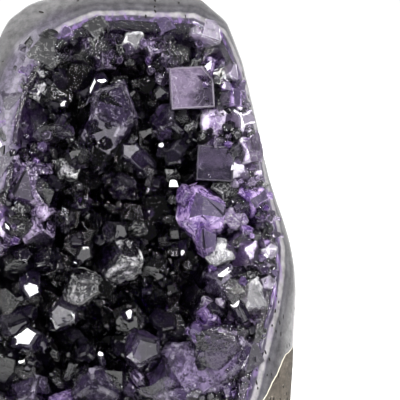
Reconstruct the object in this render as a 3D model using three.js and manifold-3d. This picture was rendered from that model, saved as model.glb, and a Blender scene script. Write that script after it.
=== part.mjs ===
// A cut-base amethyst cluster. It is a piece broken from the wall of a geode: brown host rock behind, a
// band of grey agate, and a crust of amethyst crystals lining a shallow bowl in front. The edge round
// the bowl is ground and polished, and the foot is sawn flat so that the piece stands by itself.
// Millimetres, +Z up. The crystals face -Y.
import * as THREE from "three";
import { ConvexGeometry } from "three/addons/geometries/ConvexGeometry.js";
import { mergeVertices } from "three/addons/utils/BufferGeometryUtils.js";
import Module from "manifold-3d";

const wasm = await Module();
wasm.setup();

// Driving dimensions of the stone.
const CENTRE_HEIGHT = 62; // height of the line that the outlines are measured round
const FRONT_AT_FOOT = -37; // y of the foremost line of the front, at the foot
const FRONT_LEAN = 0.13; // how far the front leans back for each millimetre of height
const EDGE_ROUND = 25; // depth over which the front rounds over to the side
const EDGE_POWER = 2.3; // how square that rounding is, where 2 is a round one
const BACK_AT_FOOT = 46; // depth of the rough back behind the widest outline, at the foot
const BACK_TAPER = 0.14; // how much of that depth is lost for each millimetre of height
const BACK_POWER = 2.7; // how square the back is
const BOWL_DEPTH = 19; // how far the bowl sinks below the front at its middle
const BOWL_POWER = 6; // how steeply its wall rises to the mouth
const BOWL_FLARE = 1.12; // the wall is carried on past the ground front to this share of the mouth

// How finely the skins are faceted: spokes round each outline, and rings as shares of the outline's reach.
const SPOKES = 48;
const FRONT_RINGS = [0.5, 0.7, 0.82, 0.9, 0.95, 0.985];
const BACK_RINGS = [1, 0.98, 0.93, 0.84, 0.7, 0.5, 0.25];
const BOWL_RINGS = [BOWL_FLARE, 1, 0.92, 0.8, 0.55];

// The flat breaks on the back of the stone: [turn about +Z from +Y, tilt upwards, depth of the break].
const ROCK_BREAKS = [
  [0, 4, 2.5], [38, -8, 3.5], [-42, 6, 3.8], [20, 34, 4.5], [-24, 38, 4.2], [62, 20, 4.2],
  [-66, -12, 4.4], [8, -30, 3.2], [-84, 24, 2.6], [84, -6, 2.4], [50, 46, 3.6], [-52, 44, 3.4],
];

// Driving dimensions of the crust.
const FIT_GAP = 0.45; // the crust stands this far in front of the bowl's wall
const BED_THICKNESS = 4; // the layer of grown-together crystal roots
const FACE_ANGLE = THREE.MathUtils.degToRad(51.8); // between a tip face and the crystal's own axis
const CROWN_BASE = 4; // height above the bowl where the tip of a crystal begins
const CROWN_SHARE = 0.22; // and how much higher it begins for each millimetre of a main one's width
const WALL_PULL = 0.6; // how far a crystal's own direction follows the wall under it
const NARROW_FACES_FROM = 12; // crystals wider than this have the three narrower tip faces too
const ROOT_LENGTH = 30; // a crystal is made this long below its tip, and then cut off inside the bed
const ROOT_DEPTH = 1.5; // the roots end this far in front of the back of the bed
const SIDE_UNEVENNESS = [0.88, 1.1]; // how far the six sides lie from the axis, as a share of the half width
const BROAD_SET_BACK = [0, 0.14]; // how far the tip faces lie past an even tip, as a share of the half width
const NARROW_SET_BACK = [0.1, 0.42];
const SMALLEST_FACET = 0.05; // detail finer than this is smoothed away

// The widest outline of the stone, seen from the front, as [x, z].
const SIDE_OUTLINE = [
  [24, 149], [32, 146.8], [37.2, 141], [41, 133], [46.2, 113], [52.2, 87], [58.8, 67], [61, 53],
  [60.2, 34], [58.5, 0], [50, -18], [0, -26], [-50, -18], [-58, 0], [-61, 32], [-59, 60], [-50, 98],
  [-43, 127], [-37.2, 140], [-29, 145.8], [-14, 148.8], [6, 149.4],
];

// The mouth of the bowl, where the crystals give way to agate on the ground edge, as [x, z].
const BOWL_OUTLINE = [
  [-1, 140.5], [13, 139.5], [27, 139], [34.5, 136], [39, 129], [42.5, 118], [46, 103], [50, 83],
  [54, 66], [53, 53], [48, 34], [42.5, 13], [38, -3], [28, -14], [0, -18], [-32, -14], [-45, -2],
  [-48, 22], [-48, 42], [-43, 64], [-36, 84], [-33, 100], [-30.5, 116], [-25, 127], [-15, 136.5],
];

// The crystals that stand out, from the top down: [x, z, width, lean to the right, lean upwards, turn in
// degrees]. A lean is a slope against the bowl's wall. At turn 0 one broad tip face looks to the front,
// squarely so where the two leans come to about 1.2 together.
const MAIN_CRYSTALS = [
  [17, 134.5, 10, 0.1, -0.6, 0], [-5, 133.5, 9, -0.2, -0.5, 30], [31, 132.5, 12.5, -0.2, -0.3, 40],
  [6, 132, 11, 0.3, 0.1, 20], [-13, 130, 9.5, 0.3, -0.2, 45], [21, 130, 11, -0.3, -0.2, 15],
  [15, 125, 11, 0.2, -0.3, 60], [31, 124, 11, -0.8, -0.3, 0], [38, 122, 9, -0.2, 0.3, 40],
  [-2, 126, 10, 0.2, 0.1, 50], [-14, 122.5, 12.5, 0.7, 0.8, 0], [-29, 122, 11, 0.8, 0.5, 0],
  [-5.5, 118.5, 7.5, -0.5, 0.5, 0], [2.5, 118, 7.5, 0.6, 0.6, 0], [25, 117.5, 16, 0.7, 0.8, 0],
  [11, 116, 11, -0.1, -0.3, 30], [38.5, 114.5, 11, 0.1, -0.5, 10], [-24, 116, 11.5, 0.3, -0.3, 60],
  [-1, 107.5, 17, 0.1, 1, 0], [33, 106, 10.5, 0, -0.3, 35], [42, 106.5, 11.5, -0.5, 0.1, 0],
  [18.5, 106, 14, 0.1, 0.1, 40], [-17, 106.5, 11, 0.1, 0.2, 10], [-28, 104.5, 15.5, 0.3, 0.1, 50],
  [10, 101, 10, -0.2, 0.2, 20], [44, 96.5, 12, -0.4, -0.2, 30], [4.5, 96.5, 10.5, 1, 0.4, 0],
  [32, 95, 16, -0.7, 0.7, 0], [19, 95, 12, 0.1, -0.2, 50], [-4, 94, 9, -0.8, 0.7, 0],
  [-14, 94, 12.5, -0.2, -0.1, 20], [-33, 91, 12.5, 0.4, 0.2, 30], [39.5, 87.5, 10.5, 0.1, 0.2, 45],
  [26, 87, 11.5, -0.2, 0.1, 0], [3, 85.5, 11, 0.1, -0.1, 50], [12.5, 86, 10.5, -0.1, 0.3, 20],
  [-25, 84, 15.5, 0.3, 0, 20], [-10, 83, 10, 0.3, 0, 0], [44, 79, 12.5, -0.3, -0.1, 50],
  [14.5, 77.5, 10.5, -0.7, 0.8, 0], [29, 76, 17, -0.1, -0.1, 45], [-14, 75.5, 10, 0.9, 0.5, 0],
  [5, 75, 9, 0.9, -0.8, 0], [-35, 74, 13, 0.4, 0, 10], [38, 71.5, 11, 0, 0.3, 30],
  [22, 71, 9.5, 0.9, 0.7, 0], [-4, 73, 10, -0.1, 0.2, 35], [9, 68.5, 9, 0.7, 1, 0],
  [-25, 69, 14, 0.1, 0.1, 50], [-10, 66, 12.5, 0.8, 0.8, 0], [17, 66, 9.5, 0.1, 0.2, 10],
  [44, 64, 13.5, -0.2, 0.1, 20], [33.5, 63.5, 10, 0.2, -0.3, 45], [2.5, 61.5, 14.5, 0, 0.1, 15],
  [-34.5, 61.5, 12.5, 0.2, 0.3, 40], [22.5, 59.5, 10, -0.9, 0.7, 0], [-18.5, 59, 11, 1, 0.4, 0],
  [12.5, 57, 10, 0.2, 0, 25], [34, 54.5, 13.5, -0.3, -0.1, 30], [-12, 52.5, 13.5, -0.1, 0.4, 20],
  [-2, 52.5, 9.5, -0.8, -0.7, 0], [-28.5, 50, 13.5, 0.5, 1, 0], [44, 49, 14.5, -0.3, 0.2, 45],
  [15, 50, 10.5, -0.2, -0.1, 0], [-40, 49, 12, 0.4, 0, 10], [25, 48, 10, 0.1, 0.3, 50],
  [-15.5, 44, 12.5, 1, -0.6, 0], [6, 43.5, 12.5, 0.3, 1, 0], [31, 42, 12, 0.1, 0.1, 15],
  [-3, 41, 10, 0.1, -0.2, 40], [-37, 39, 12.5, 0.9, 0.5, 0], [19, 39, 11, -0.2, 0, 30],
  [-28, 36, 13.5, -0.5, 0.6, 0], [-17, 34, 10.5, 0.1, 0.2, 10], [4, 33.5, 10, -0.8, 0.7, 0],
  [37, 31, 18, -0.5, 0.4, 0], [12.5, 31, 11.5, -0.1, 0.6, 20], [-7, 31, 10, -0.1, 0.1, 50],
  [-41, 27.5, 13.5, 0.2, 0.1, 20], [-30, 25.5, 13.5, 0.3, 1.1, 0], [-12, 26, 12, -0.2, 0.4, 0],
  [-1, 22, 10.5, 0.8, 0.8, 0], [18, 20, 21, 0.2, 0.3, 20], [35, 14, 15.5, -0.2, 0.2, 45],
  [-40, 13.5, 14.5, 0.1, 0.2, 0], [-27, 14, 14.5, 0.1, 0.1, 30], [-11.5, 14.5, 15, 0.1, 0.1, 50],
  [4, 10, 12.5, 0.1, 0.3, 10], [25, 4, 13.5, 0, 0.3, 40], [-19, 3, 13.5, -0.1, 0.2, 20],
  [-34, 2, 12.5, 0.1, 0.2, 40], [13, 1, 12, 0, 0.2, 0], [-6, 1, 12, 0.1, 0.2, 35],
];

// The lesser crystals that fill in between them are scattered from a fixed seed.
const LESSER_TRIES = 2500;
const LESSER_WIDTH = [8, 10.5];
const LESSER_CROWDING = 0.76; // how close two crystals may grow, as a share of their mean width
const LESSER_LEAN = 0.7;
const SEED = 20260412;

const COLOURS = { host_rock: 0x6f675c, amethyst: 0x54307c };

function seededRandom(seed) {
  let state = seed;
  return () => {
    state = (state + 0x6d2b79f5) | 0;
    let t = Math.imul(state ^ (state >>> 15), 1 | state);
    t = (t + Math.imul(t ^ (t >>> 7), 61 | t)) ^ t;
    return ((t ^ (t >>> 14)) >>> 0) / 4294967296;
  };
}
const random = seededRandom(SEED);
const between = (low, high) => low + (high - low) * random();

// How far an outline lies from the centre line along each spoke.
function reachOfOutline(points) {
  const curve = new THREE.CatmullRomCurve3(
    points.map(([x, z]) => new THREE.Vector3(x, 0, z - CENTRE_HEIGHT)), true, "centripetal");
  const samples = curve.getPoints(points.length * 16);
  const polar = samples.map((p) => ({ angle: Math.atan2(p.z, p.x), radius: Math.hypot(p.x, p.z) }));
  polar.sort((a, b) => a.angle - b.angle);
  return (angle) => {
    const after = polar.findIndex((p) => p.angle > angle);
    const high = polar[after < 0 ? 0 : after];
    const low = polar[(after <= 0 ? polar.length : after) - 1];
    const turn = 2 * Math.PI;
    const span = (high.angle - low.angle + turn) % turn || turn;
    const share = ((angle - low.angle + turn) % turn) / span;
    return low.radius + (high.radius - low.radius) * share;
  };
}
const sideReach = reachOfOutline(SIDE_OUTLINE);
const bowlReach = reachOfOutline(BOWL_OUTLINE);

const spokeAngles = Array.from({ length: SPOKES }, (_, i) => -Math.PI + (2 * Math.PI * (i + 0.5)) / SPOKES);

// The ground front: nearly flat in the middle and rounded over to the side.
const frontPlane = (z) => FRONT_AT_FOOT + FRONT_LEAN * z;
function groundFront(share, z) {
  const s = Math.min(share, 1);
  return frontPlane(z) + EDGE_ROUND * (1 - (1 - s ** EDGE_POWER) ** (1 / EDGE_POWER));
}

// The rough back: a dome with the lumps and hollows of weathered host rock.
function rockRelief(x, z) {
  const swell = 1.6 * Math.sin(x / 13 + 0.6) * Math.cos(z / 17 + 0.4);
  const lumps = 0.9 * Math.sin(x / 6.3 + z / 8.1) + 0.8 * Math.cos(x / 5.2 - z / 6.1 + 1.1);
  return swell + lumps;
}
function roughBack(share, x, z) {
  const depth = BACK_AT_FOOT - BACK_TAPER * z;
  const dome = depth * (1 - share ** BACK_POWER) ** (1 / BACK_POWER);
  return frontPlane(z) + EDGE_ROUND + dome + rockRelief(x, z) * (1 - share ** 5);
}

// The bowl: its wall meets the ground front at the mouth and sinks to its full depth in the middle.
function bowlRelief(x, z) {
  return 1.6 * Math.sin(x / 8.5 + 0.9) * Math.sin(z / 10.2) + 0.9 * Math.cos(x / 6.1 + z / 7.4);
}
function bowlWall(x, z) {
  const angle = Math.atan2(z - CENTRE_HEIGHT, x);
  const share = Math.hypot(x, z - CENTRE_HEIGHT) / bowlReach(angle);
  const mouthZ = CENTRE_HEIGHT + bowlReach(angle) * Math.sin(angle);
  const mouthBehindFront = groundFront(bowlReach(angle) / sideReach(angle), mouthZ) - frontPlane(mouthZ);
  const depth = BOWL_DEPTH * (1 - share ** BOWL_POWER) + bowlRelief(x, z) * (1 - Math.min(share, 1) ** 2);
  return frontPlane(z) + mouthBehindFront * share ** 2 + depth;
}

// A closed skin over rings of points, closed by a point in front and a point behind.
function skinOver(front, rings, back) {
  const points = [front, ...rings.flat(), back];
  const last = points.length - 1;
  const count = rings[0].length;
  const at = (ring, spoke) => 1 + ring * count + (spoke % count);
  const faces = [];
  for (let s = 0; s < count; s += 1) {
    faces.push(0, at(0, s), at(0, s + 1));
    for (let r = 0; r + 1 < rings.length; r += 1) {
      faces.push(at(r, s), at(r + 1, s), at(r + 1, s + 1), at(r, s), at(r + 1, s + 1), at(r, s + 1));
    }
    faces.push(at(rings.length - 1, s), last, at(rings.length - 1, s + 1));
  }
  const geometry = new THREE.BufferGeometry().setFromPoints(points);
  geometry.setIndex(faces);
  return geometry;
}

function solidFrom(geometry) {
  geometry.deleteAttribute("normal");
  geometry.deleteAttribute("uv");
  const merged = mergeVertices(geometry, 1e-4);
  return new wasm.Manifold(new wasm.Mesh({
    numProp: 3,
    vertProperties: merged.getAttribute("position").array,
    triVerts: new Uint32Array(merged.index.array),
  }));
}

function geometryFrom(solid) {
  const mesh = solid.getMesh();
  const geometry = new THREE.BufferGeometry();
  geometry.setAttribute("position", new THREE.BufferAttribute(mesh.vertProperties, 3));
  geometry.setIndex(new THREE.BufferAttribute(mesh.triVerts, 1));
  geometry.computeVertexNormals();
  return geometry;
}

function ring(share, reach, depthAt) {
  return spokeAngles.map((angle) => {
    const radius = share * reach(angle);
    const x = radius * Math.cos(angle);
    const z = CENTRE_HEIGHT + radius * Math.sin(angle);
    return new THREE.Vector3(x, depthAt(x, z, radius / sideReach(angle)), z);
  });
}

// Cuts the flat breaks into the back, each set in by its depth from where its plane would just touch.
function breakBack(lump) {
  return ROCK_BREAKS.reduce((solid, [turn, tilt, depth]) => {
    const level = Math.cos(THREE.MathUtils.degToRad(tilt));
    const inward = new THREE.Vector3(
      -level * Math.sin(THREE.MathUtils.degToRad(turn)),
      -level * Math.cos(THREE.MathUtils.degToRad(turn)),
      -Math.sin(THREE.MathUtils.degToRad(tilt)));
    const { vertProperties } = solid.getMesh();
    let touching = Infinity;
    for (let i = 0; i < vertProperties.length; i += 3) {
      touching = Math.min(touching, new THREE.Vector3().fromArray(vertProperties, i).dot(inward));
    }
    return solid.trimByPlane(inward.toArray(), touching + depth);
  }, lump);
}

// The whole lump before the bowl: what the grinding wheel and the breaking left.
function makeLump() {
  const rings = [
    ...FRONT_RINGS.map((s) => ring(s, sideReach, (x, z, share) => groundFront(share, z))),
    ...BACK_RINGS.map((s) => ring(s, sideReach, (x, z, share) => roughBack(Math.min(share, 1), x, z))),
  ];
  const front = new THREE.Vector3(0, frontPlane(CENTRE_HEIGHT), CENTRE_HEIGHT);
  const back = new THREE.Vector3(0, roughBack(0, 0, CENTRE_HEIGHT), CENTRE_HEIGHT);
  return breakBack(solidFrom(skinOver(front, rings, back)));
}

// The space of the bowl, from its wall out to well in front of the stone.
function makeBowlSpace() {
  const rings = BOWL_RINGS.map((s) => ring(s, bowlReach, (x, z) => bowlWall(x, z)));
  const front = new THREE.Vector3(0, 4 * FRONT_AT_FOOT, CENTRE_HEIGHT);
  const back = new THREE.Vector3(0, bowlWall(0, CENTRE_HEIGHT), CENTRE_HEIGHT);
  return solidFrom(skinOver(front, rings, back));
}

// Everything below the saw cut.
function makeBelowCut() {
  const size = 400;
  const block = new THREE.BoxGeometry(size, size, size);
  block.translate(0, 0, -size / 2);
  return solidFrom(block);
}

// A quartz crystal is the space inside its flat faces: six sides, three broad tip faces and, on a wide
// one, three narrower ones. Its axis is +Z, its tip begins at z = 0, and one broad face looks to +X.
function crystalGeometry(width) {
  const half = width / 2;
  const planes = [{ normal: new THREE.Vector3(0, 0, -1), distance: ROOT_LENGTH }];
  for (let i = 0; i < 6; i += 1) {
    const angle = (i * Math.PI) / 3;
    const outward = new THREE.Vector3(Math.cos(angle), Math.sin(angle), 0);
    const tip = outward.clone().multiplyScalar(Math.sin(FACE_ANGLE)).setZ(Math.cos(FACE_ANGLE));
    const broad = i % 2 === 0;
    const setBack = between(...(broad ? BROAD_SET_BACK : NARROW_SET_BACK));
    planes.push({ normal: outward, distance: half * between(...SIDE_UNEVENNESS) });
    if (broad || width > NARROW_FACES_FROM) {
      planes.push({ normal: tip, distance: half * (Math.sin(FACE_ANGLE) + setBack) });
    }
  }
  const corners = [];
  const solve = new THREE.Matrix3();
  for (let a = 0; a < planes.length; a += 1) {
    for (let b = a + 1; b < planes.length; b += 1) {
      for (let c = b + 1; c < planes.length; c += 1) {
        const [p, q, r] = [planes[a], planes[b], planes[c]];
        solve.set(...p.normal.toArray(), ...q.normal.toArray(), ...r.normal.toArray());
        if (Math.abs(solve.determinant()) < 1e-6) continue;
        const corner = new THREE.Vector3(p.distance, q.distance, r.distance).applyMatrix3(solve.invert());
        if (planes.every((f) => corner.dot(f.normal) < f.distance + 1e-6)) corners.push(corner);
      }
    }
  }
  return new ConvexGeometry(corners);
}

function bowlNormal(x, z) {
  const step = 2;
  const slopeX = (bowlWall(x + step, z) - bowlWall(x - step, z)) / (2 * step);
  const slopeZ = (bowlWall(x, z + step) - bowlWall(x, z - step)) / (2 * step);
  return new THREE.Vector3(slopeX, -1, slopeZ).normalize();
}

// One crystal, rooted in the bowl's wall and leaning from it. Its row gives where its tip begins.
function placeCrystal([x, z, width, leanRight, leanUp, turn], crownShare) {
  const forward = new THREE.Vector3(0, -1, 0);
  const normal = bowlNormal(x, z);
  const axis = forward.clone().lerp(normal, WALL_PULL).add(new THREE.Vector3(leanRight, 0, leanUp)).normalize();
  const across = forward.clone().addScaledVector(axis, -forward.dot(axis));
  if (across.length() < 0.05) across.set(0, 0, 1).addScaledVector(axis, -axis.z);
  across.normalize().applyAxisAngle(axis, THREE.MathUtils.degToRad(turn));
  const place = new THREE.Matrix4().makeBasis(across, axis.clone().cross(across), axis);
  const crown = normal.multiplyScalar(CROWN_BASE + crownShare * width);
  place.setPosition(x + crown.x, bowlWall(x, z) + crown.y, z + crown.z);
  const crystal = crystalGeometry(width).applyMatrix4(place);
  return solidFrom(crystal.translate(0, Math.max(0, standsProud(crystal)), 0));
}

// How far the foremost point of a crystal would stand out past the ground front.
function standsProud(crystal) {
  const { array, count } = crystal.getAttribute("position");
  let proud = -Infinity;
  for (let i = 0; i < count; i += 1) {
    const [x, y, z] = array.slice(3 * i, 3 * i + 3);
    const share = Math.hypot(x, z - CENTRE_HEIGHT) / sideReach(Math.atan2(z - CENTRE_HEIGHT, x));
    proud = Math.max(proud, groundFront(share, z) - y);
  }
  return proud;
}

function scatterLesserCrystals() {
  const rows = [];
  const spread = new THREE.Box2().setFromPoints(BOWL_OUTLINE.map(([x, z]) => new THREE.Vector2(x, z)));
  for (let i = 0; i < LESSER_TRIES; i += 1) {
    const x = between(spread.min.x, spread.max.x);
    const z = between(0, spread.max.y);
    const width = between(...LESSER_WIDTH);
    const leans = [between(-LESSER_LEAN, LESSER_LEAN), between(-LESSER_LEAN, LESSER_LEAN)];
    const inside = Math.hypot(x, z - CENTRE_HEIGHT) < bowlReach(Math.atan2(z - CENTRE_HEIGHT, x));
    const free = [...MAIN_CRYSTALS, ...rows].every((other) =>
      Math.hypot(x - other[0], z - other[1]) > (LESSER_CROWDING * (width + other[2])) / 2);
    if (inside && free) rows.push([x, z, width, ...leans, between(-60, 60)]);
  }
  return rows;
}

// The crust is the bed of grown-together roots with every crystal joined to it. It is kept inside the
// bowl, and the grinding of the edge and the saw cut run through it as they run through the rock.
function makeCrust(lump, bowlSpace) {
  const growthSpace = bowlSpace.translate([0, -FIT_GAP, 0]);
  const bed = growthSpace.subtract(growthSpace.translate([0, -BED_THICKNESS, 0]));
  const main = MAIN_CRYSTALS.map((row) => placeCrystal(row, CROWN_SHARE));
  const lesser = scatterLesserCrystals().map((row) => placeCrystal(row, 0));
  const crystals = wasm.Manifold.union([...main, ...lesser]);
  const rooted = crystals.intersect(growthSpace.translate([0, -ROOT_DEPTH, 0]));
  const ground = bed.add(rooted).intersect(lump).subtract(makeBelowCut());
  return largestOf(ground.simplify(SMALLEST_FACET));
}

function largestOf(solid) {
  return solid.decompose().sort((a, b) => b.volume() - a.volume())[0];
}

function namedMesh(name, solid, material) {
  const mesh = new THREE.Mesh(geometryFrom(solid), material);
  mesh.name = name;
  return mesh;
}

const lump = makeLump();
const bowlSpace = makeBowlSpace();
const stoneSolid = largestOf(lump.subtract(bowlSpace).subtract(makeBelowCut()).simplify(0.01));
const crustSolid = makeCrust(lump, bowlSpace);

const stone = namedMesh("stone_wall", stoneSolid, new THREE.MeshStandardMaterial(
  { color: COLOURS.host_rock, roughness: 0.6, metalness: 0 }));
const crust = namedMesh("amethyst_crust", crustSolid, new THREE.MeshStandardMaterial(
  { color: COLOURS.amethyst, roughness: 0.08, metalness: 0 }));

const cluster = new THREE.Group();
cluster.name = "cut_base_amethyst_cluster";
cluster.add(stone, crust);

// The origin is under the middle of the piece, on the saw cut.
const middle = new THREE.Box3().setFromObject(cluster).getCenter(new THREE.Vector3());
cluster.position.set(-middle.x, -middle.y, 0);

export default cluster;
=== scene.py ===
import math
import random

import bpy
from mathutils import Matrix, Vector
from mathutils.bvhtree import BVHTree


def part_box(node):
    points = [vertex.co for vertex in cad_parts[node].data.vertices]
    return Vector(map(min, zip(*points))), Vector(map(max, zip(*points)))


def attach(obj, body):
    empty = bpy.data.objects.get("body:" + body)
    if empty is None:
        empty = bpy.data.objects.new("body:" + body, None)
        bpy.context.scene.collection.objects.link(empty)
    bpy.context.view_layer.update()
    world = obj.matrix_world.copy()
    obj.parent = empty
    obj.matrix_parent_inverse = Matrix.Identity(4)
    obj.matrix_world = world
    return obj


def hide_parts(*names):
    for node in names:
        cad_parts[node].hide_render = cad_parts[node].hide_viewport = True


# A cut base amethyst cluster: a lump of host rock broken from the wall of a geode, with a shallow bowl of
# amethyst in front, a ground and polished agate edge round it, and a sawn foot that it stands on.
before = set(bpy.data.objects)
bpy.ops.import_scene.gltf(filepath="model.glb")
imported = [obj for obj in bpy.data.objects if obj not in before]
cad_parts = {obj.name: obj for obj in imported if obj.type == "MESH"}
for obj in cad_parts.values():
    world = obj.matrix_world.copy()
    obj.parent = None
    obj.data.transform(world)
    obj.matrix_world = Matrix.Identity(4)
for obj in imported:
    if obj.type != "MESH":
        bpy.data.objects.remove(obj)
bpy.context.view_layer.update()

# The camera stands a little above the middle of the piece and looks level into the bowl. The picture is
# 133 mm wide at the polished edge, which lies 0.9 m away, as with a long lens in a studio.
camera_distance = 0.9
camera_elevation = math.radians(5)
picture_width = 0.13333
looked_at = Vector((0.0286, -0.004, 0.080))
bpy.ops.object.select_all(action="DESELECT")
bpy.ops.object.camera_add()
camera = bpy.context.object
camera.name = "studio_camera"
away = Vector((0, -math.cos(camera_elevation), math.sin(camera_elevation)))
camera.location = looked_at + camera_distance * away
camera.rotation_euler = (-away).to_track_quat("-Z", "Y").to_euler()
camera.data.lens = camera.data.sensor_width * camera_distance / picture_width
bpy.context.scene.camera = camera

# The studio: a white sweep behind and below, a dim room on the camera's side, wide soft panels to the left,
# the right and above, and small bright lamps that strike white from single facets.
bpy.context.scene.view_settings.view_transform = "Standard"
room = bpy.data.worlds.new("studio_room")
room.use_nodes = True
tree = room.node_tree
direction = tree.nodes.new("ShaderNodeTexCoord")
parts = tree.nodes.new("ShaderNodeSeparateXYZ")
tree.links.new(direction.outputs["Generated"], parts.inputs[0])
sweep = tree.nodes.new("ShaderNodeMapRange")
sweep.inputs["From Min"].default_value, sweep.inputs["From Max"].default_value = -0.05, 0.35
sweep.inputs["To Min"].default_value, sweep.inputs["To Max"].default_value = 0.15, 1.2
tree.links.new(parts.outputs["Y"], sweep.inputs["Value"])
ray = tree.nodes.new("ShaderNodeLightPath")
seen = tree.nodes.new("ShaderNodeMix")
seen.inputs[3].default_value = 1.05
tree.links.new(ray.outputs["Is Camera Ray"], seen.inputs[0])
tree.links.new(sweep.outputs["Result"], seen.inputs[2])
tree.links.new(seen.outputs[0], tree.nodes["Background"].inputs["Strength"])
tree.nodes["Background"].inputs["Color"].default_value = (1, 1, 1, 1)
bpy.context.scene.world = room

aimed_at = Vector((0, 0, 0.08))
lamps = {
    # name: [place, width, height, watts]
    "left_panel": [(-1.0, -0.75, 0.5), 0.9, 0.9, 1.8],
    "right_panel": [(0.95, -0.7, 0.45), 0.6, 0.9, 1.3],
    "top_panel": [(0.0, -0.5, 1.2), 1.2, 0.7, 2.0],
    "top_lamp": [(0.4, -0.3, 0.7), 0.12, 0.2, 4.0],
    "left_lamp": [(-0.6, -0.5, 0.35), 0.1, 0.24, 2.6],
    "right_strip": [(0.55, -0.35, 0.25), 0.05, 0.3, 1.8],
    "front_left_lamp": [(-0.35, -0.75, 0.04), 0.14, 0.08, 1.1],
    "front_right_lamp": [(0.42, -0.7, 0.3), 0.09, 0.09, 0.8],
    "high_left_strip": [(-0.3, -0.35, 0.6), 0.2, 0.04, 1.0],
    "grey_card": [(-0.15, -0.8, 0.5), 0.26, 0.2, 1.0],
}
for name, (place, width, height, watts) in lamps.items():
    bpy.ops.object.light_add(type="AREA", location=place)
    lamp = bpy.context.object
    lamp.name = name
    lamp.data.shape = "RECTANGLE"
    lamp.data.size, lamp.data.size_y = width, height
    lamp.data.energy = watts
    lamp.rotation_euler = (aimed_at - Vector(place)).to_track_quat("-Z", "Y").to_euler()

# A wide soft front light lifts the cloudy crystals and the stone. It is kept out of the reflections.
bpy.ops.object.light_add(type="AREA", location=(-0.2, -1.4, 0.7))
soft_front = bpy.context.object
soft_front.name = "soft_front"
soft_front.data.shape = "RECTANGLE"
soft_front.data.size, soft_front.data.size_y = 1.6, 1.2
soft_front.data.energy = 34
soft_front.rotation_euler = (aimed_at - soft_front.location).to_track_quat("-Z", "Y").to_euler()
soft_front.visible_glossy = False
soft_front.visible_transmission = False

# The table begins just in front of the piece, so that the facets mirror the dim room and not the table.
bpy.ops.mesh.primitive_plane_add(size=1.8, location=(0, 0.76, 0))
table_top = bpy.context.object
table_top.name = "pale_table"
pale = bpy.data.materials.new("pale_table")
pale.use_nodes = True
pale_shader = pale.node_tree.nodes["Principled BSDF"]
pale_shader.inputs["Base Color"].default_value = (0.95, 0.95, 0.95, 1)
pale_shader.inputs["Roughness"].default_value = 0.7
pale_shader.inputs["Emission Color"].default_value = (1, 1, 1, 1)
pale_shader.inputs["Emission Strength"].default_value = 0.6
table_top.data.materials.append(pale)

# The stone wall: brown basalt behind, lined by grey agate. One lump, ground and polished round the bowl,
# left as it broke behind, and sawn off flat below.
stone_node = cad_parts["stone_wall"]
crust_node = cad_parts["amethyst_crust"]
bpy.ops.object.select_all(action="DESELECT")
stone = stone_node.copy()
stone.data = stone_node.data.copy()
stone.name = "stone_lump"
bpy.context.scene.collection.objects.link(stone)
stone.select_set(True)
bpy.context.view_layer.objects.active = stone
bpy.ops.object.mode_set(mode="EDIT")
bpy.ops.mesh.select_all(action="SELECT")
bpy.ops.mesh.remove_doubles(threshold=1e-5)
bpy.ops.object.mode_set(mode="OBJECT")
stone.data.materials.clear()


def surface_of(piece):
    """The surface of a piece, to find where a line meets it or which of its points is nearest."""
    mesh = piece.data
    return BVHTree.FromPolygons([v.co for v in mesh.vertices], [list(p.vertices) for p in mesh.polygons])


def seen_from_front(surface, x, z):
    """Where a line from in front of the piece meets a surface, and which way the surface faces there."""
    return surface.ray_cast(Vector((x, -0.2, z)), into_bowl)[:2]


def work_on(piece):
    """Selects one piece alone for the tools that follow."""
    bpy.ops.object.select_all(action="DESELECT")
    piece.select_set(True)
    bpy.context.view_layer.objects.active = piece


into_bowl = Vector((0, 1, 0))

# The wall of the bowl closes up to the crust that grows on it, and a little past its back.
growth_gap = 0.0007
roots = surface_of(crust_node)
for corner in stone.data.vertices:
    root, _, _, gap = roots.find_nearest(corner.co)
    if gap < growth_gap:
        corner.co = corner.co + 1.3 * (root - corner.co)

# The form that the lump was ground to all round, as a closed skin stretched over both solids.
bpy.ops.object.select_all(action="DESELECT")
ground_form = stone_node.copy()
ground_form.data = stone_node.data.copy()
crust_part = crust_node.copy()
crust_part.data = crust_node.data.copy()
for part in (ground_form, crust_part):
    bpy.context.scene.collection.objects.link(part)
    part.select_set(True)
bpy.context.view_layer.objects.active = ground_form
bpy.ops.object.join()
bpy.ops.object.mode_set(mode="EDIT")
bpy.ops.mesh.select_all(action="SELECT")
bpy.ops.mesh.convex_hull(use_existing_faces=False)
bpy.ops.object.mode_set(mode="OBJECT")
ground_form.name = "ground_form"
ground_form.data.materials.clear()
face_of_lump = surface_of(ground_form)

stone_grain = 0.0009
work_on(stone)
bpy.ops.object.modifier_add(type="REMESH")
stone.modifiers[-1].mode = "VOXEL"
stone.modifiers[-1].voxel_size = stone_grain
bpy.ops.object.modifier_apply(modifier=stone.modifiers[-1].name)

# The front and sides were ground and polished as far back as the wheel reached; the rest broke rough.
front_at_foot = -0.0382
front_lean = 0.13
ground_reach = 0.0225
rough = stone.vertex_groups.new(name="left_rough")
ground = stone.vertex_groups.new(name="ground")
for point in stone.data.vertices:
    behind_front = point.co.y - (front_at_foot + front_lean * point.co.z)
    share_rough = min(1, max(0, (behind_front - ground_reach) / 0.003))
    if roots.find_nearest(point.co)[3] > 0.0015 and point.co.z > 0.0012:
        rough.add([point.index], share_rough, "REPLACE")
        ground.add([point.index], 1 - share_rough, "REPLACE")

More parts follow.
